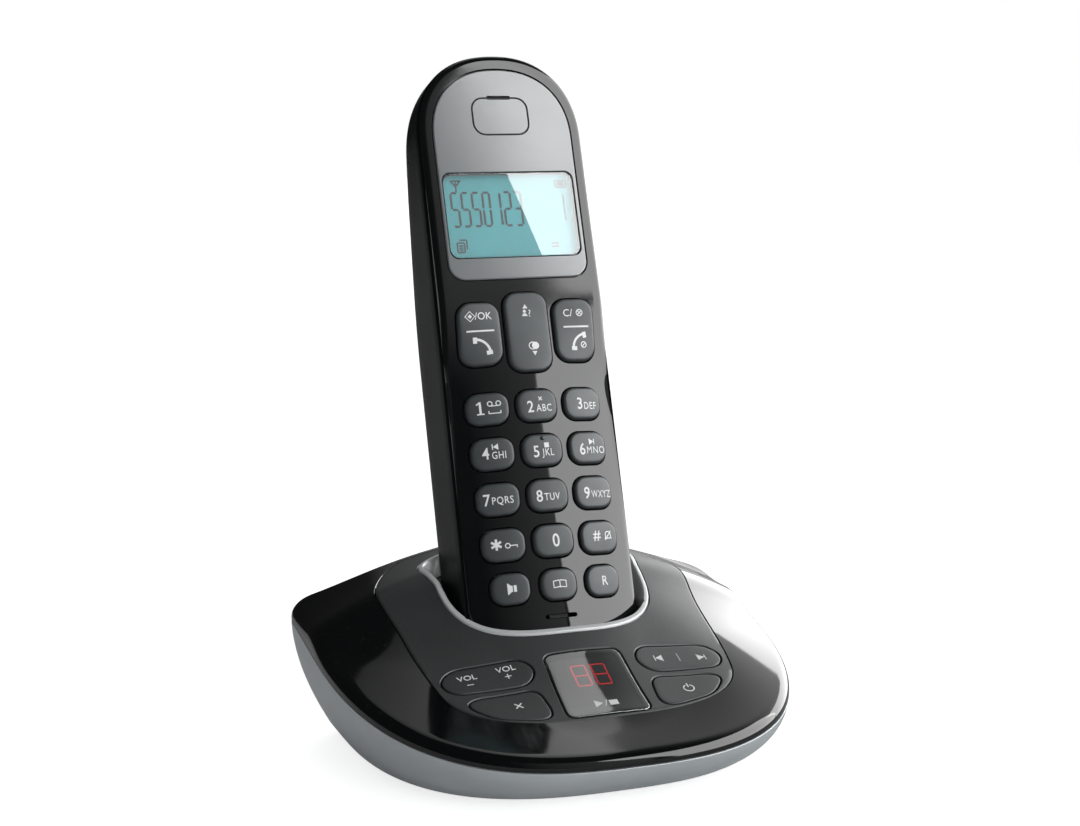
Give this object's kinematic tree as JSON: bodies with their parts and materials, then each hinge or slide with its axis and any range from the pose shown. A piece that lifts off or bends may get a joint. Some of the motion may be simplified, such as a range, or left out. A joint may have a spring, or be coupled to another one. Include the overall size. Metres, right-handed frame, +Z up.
{
  "type": "answering machine with cordless handset",
  "caption": "Cordless telephone handset standing in a digital answering machine base with message counter, rocker keys and a charging cradle.",
  "frame": {"origin": "middle of the whole box seen from above, on the surface that the rubber feet stand on", "axes": "+Z up, the keys and the display face -Y, x = 0 is the middle plane of base and handset"},
  "size_m": [0.122, 0.1128, 0.1786],
  "materials": {
    "case_silver": "fine-textured silver-grey moulded plastic",
    "cover_black": "piano-gloss black moulded plastic",
    "satin_black": "satin black moulded plastic",
    "panel_dark": "fine-grained dark grey plastic",
    "ring_silver": "bright silver plated plastic",
    "face_silver": "satin silver painted plastic",
    "key_grey": "soft-touch dark grey with white printed symbols",
    "smoked_lens": "smoked clear plastic over the message counter",
    "counter_red": "red seven-segment digits in a dark block",
    "window_clear": "clear hard-coated plastic, stated as glass for its alpha",
    "lcd_teal": "teal backlit liquid crystal",
    "foot_rubber": "black rubber",
    "circuit_green": "green circuit board",
    "contact_gold": "gold-flashed spring contact",
    "steel": "zinc-plated steel",
    "inner_dark": "black moulded plastic and rubber inside",
    "cell_jacket": "shrink-sleeved rechargeable cell"
  },
  "bodies": {
    "base": {"base_case": "case_silver", "base_cover": "cover_black", "control_panel": "panel_dark", "cradle_ring": "ring_silver", "cradle_well": "satin_black", "charge_contact_left": "contact_gold", "charge_contact_right": "contact_gold", "message_display": "counter_red", "base_board": "circuit_green", "base_key_mat": "inner_dark", "loudspeaker": "inner_dark", "line_socket": "satin_black", "power_socket": "satin_black", "foot_front_left": "foot_rubber", "foot_front_right": "foot_rubber", "foot_back_left": "foot_rubber", "foot_back_right": "foot_rubber", "case_screw_front_left": "steel", "case_screw_front_right": "steel", "case_screw_back_left": "steel", "case_screw_back_right": "steel"},
    "handset": {"handset_front": "cover_black", "handset_rear": "satin_black", "faceplate": "face_silver", "display_window": "window_clear", "lcd_module": "lcd_teal", "earpiece": "inner_dark", "handset_board": "circuit_green", "keypad_mat": "inner_dark", "microphone": "inner_dark", "battery_left": "cell_jacket", "battery_right": "cell_jacket", "battery_contact_left": "steel", "battery_contact_right": "steel", "handset_contact_left": "contact_gold", "handset_contact_right": "contact_gold"},
    "battery_door": {"battery_door": "satin_black"},
    "key_1": {"key_1": "key_grey"},
    "key_2": {"key_2": "key_grey"},
    "key_3": {"key_3": "key_grey"},
    "key_4": {"key_4": "key_grey"},
    "key_5": {"key_5": "key_grey"},
    "key_6": {"key_6": "key_grey"},
    "key_7": {"key_7": "key_grey"},
    "key_8": {"key_8": "key_grey"},
    "key_9": {"key_9": "key_grey"},
    "key_0": {"key_0": "key_grey"},
    "key_star": {"key_star": "key_grey"},
    "key_hash": {"key_hash": "key_grey"},
    "speaker_key": {"speaker_key": "key_grey"},
    "phonebook_key": {"phonebook_key": "key_grey"},
    "recall_key": {"recall_key": "key_grey"},
    "talk_key": {"talk_key": "key_grey"},
    "end_key": {"end_key": "key_grey"},
    "navigation_key": {"navigation_key": "key_grey"},
    "delete_key": {"delete_key": "panel_dark"},
    "power_key": {"power_key": "panel_dark"},
    "play_key": {"play_key": "smoked_lens"},
    "volume_key": {"volume_key": "panel_dark"},
    "skip_key": {"skip_key": "panel_dark"}
  },
  "joints": [
    {"name": "handset_lift", "type": "slide", "parent": "base", "child": "handset", "axis": [0, 0.342, 0.9397], "range_m": [0, 0.12]},
    {"name": "battery_door_swing", "type": "hinge", "parent": "handset", "child": "battery_door", "pos_m": [0, 0.02983, 0.05142], "axis": [-1, 0, 0], "range_deg": [0, 65]},
    {"name": "key_1_press", "type": "slide", "parent": "handset", "child": "key_1", "axis": [0, 0.9397, -0.342], "range_m": [0, 0.0008], "stiffness_N_per_m": 1800},
    {"name": "key_2_press", "type": "slide", "parent": "handset", "child": "key_2", "axis": [0, 0.9397, -0.342], "range_m": [0, 0.0008], "stiffness_N_per_m": 1800},
    {"name": "key_3_press", "type": "slide", "parent": "handset", "child": "key_3", "axis": [0, 0.9397, -0.342], "range_m": [0, 0.0008], "stiffness_N_per_m": 1800},
    {"name": "key_4_press", "type": "slide", "parent": "handset", "child": "key_4", "axis": [0, 0.9397, -0.342], "range_m": [0, 0.0008], "stiffness_N_per_m": 1800},
    {"name": "key_5_press", "type": "slide", "parent": "handset", "child": "key_5", "axis": [0, 0.9397, -0.342], "range_m": [0, 0.0008], "stiffness_N_per_m": 1800},
    {"name": "key_6_press", "type": "slide", "parent": "handset", "child": "key_6", "axis": [0, 0.9397, -0.342], "range_m": [0, 0.0008], "stiffness_N_per_m": 1800},
    {"name": "key_7_press", "type": "slide", "parent": "handset", "child": "key_7", "axis": [0, 0.9397, -0.342], "range_m": [0, 0.0008], "stiffness_N_per_m": 1800},
    {"name": "key_8_press", "type": "slide", "parent": "handset", "child": "key_8", "axis": [0, 0.9397, -0.342], "range_m": [0, 0.0008], "stiffness_N_per_m": 1800},
    {"name": "key_9_press", "type": "slide", "parent": "handset", "child": "key_9", "axis": [0, 0.9397, -0.342], "range_m": [0, 0.0008], "stiffness_N_per_m": 1800},
    {"name": "key_0_press", "type": "slide", "parent": "handset", "child": "key_0", "axis": [0, 0.9397, -0.342], "range_m": [0, 0.0008], "stiffness_N_per_m": 1800},
    {"name": "key_star_press", "type": "slide", "parent": "handset", "child": "key_star", "axis": [0, 0.9397, -0.342], "range_m": [0, 0.0008], "stiffness_N_per_m": 1800},
    {"name": "key_hash_press", "type": "slide", "parent": "handset", "child": "key_hash", "axis": [0, 0.9397, -0.342], "range_m": [0, 0.0008], "stiffness_N_per_m": 1800},
    {"name": "speaker_key_press", "type": "slide", "parent": "handset", "child": "speaker_key", "axis": [0, 0.9397, -0.342], "range_m": [0, 0.0008], "stiffness_N_per_m": 1800},
    {"name": "phonebook_key_press", "type": "slide", "parent": "handset", "child": "phonebook_key", "axis": [0, 0.9397, -0.342], "range_m": [0, 0.0008], "stiffness_N_per_m": 1800},
    {"name": "recall_key_press", "type": "slide", "parent": "handset", "child": "recall_key", "axis": [0, 0.9397, -0.342], "range_m": [0, 0.0008], "stiffness_N_per_m": 1800},
    {"name": "talk_key_press", "type": "slide", "parent": "handset", "child": "talk_key", "axis": [0, 0.9397, -0.342], "range_m": [0, 0.0008], "stiffness_N_per_m": 1800},
    {"name": "end_key_press", "type": "slide", "parent": "handset", "child": "end_key", "axis": [0, 0.9397, -0.342], "range_m": [0, 0.0008], "stiffness_N_per_m": 1800},
    {"name": "navigation_key_rock", "type": "hinge", "parent": "handset", "child": "navigation_key", "pos_m": [0, 0.02213, 0.10547], "axis": [1, 0, 0], "range_deg": [-2.5, 2.5], "stiffness_Nm_per_rad": 0.3},
    {"name": "delete_key_press", "type": "slide", "parent": "base", "child": "delete_key", "axis": [0, 0.4726, -0.8813], "range_m": [0, 0.0008], "stiffness_N_per_m": 1800},
    {"name": "power_key_press", "type": "slide", "parent": "base", "child": "power_key", "axis": [0, 0.4726, -0.8813], "range_m": [0, 0.0008], "stiffness_N_per_m": 1800},
    {"name": "play_key_press", "type": "slide", "parent": "base", "child": "play_key", "axis": [0, 0.4726, -0.8813], "range_m": [0, 0.0008], "stiffness_N_per_m": 1800},
    {"name": "volume_key_rock", "type": "hinge", "parent": "base", "child": "volume_key", "pos_m": [-0.02574, -0.02123, 0.02423], "axis": [0, 0.8813, 0.4726], "range_deg": [-3, 3], "stiffness_Nm_per_rad": 0.3},
    {"name": "skip_key_rock", "type": "hinge", "parent": "base", "child": "skip_key", "pos_m": [0.02574, -0.02123, 0.02423], "axis": [0, 0.8813, 0.4726], "range_deg": [-3, 3], "stiffness_Nm_per_rad": 0.3}
  ]
}
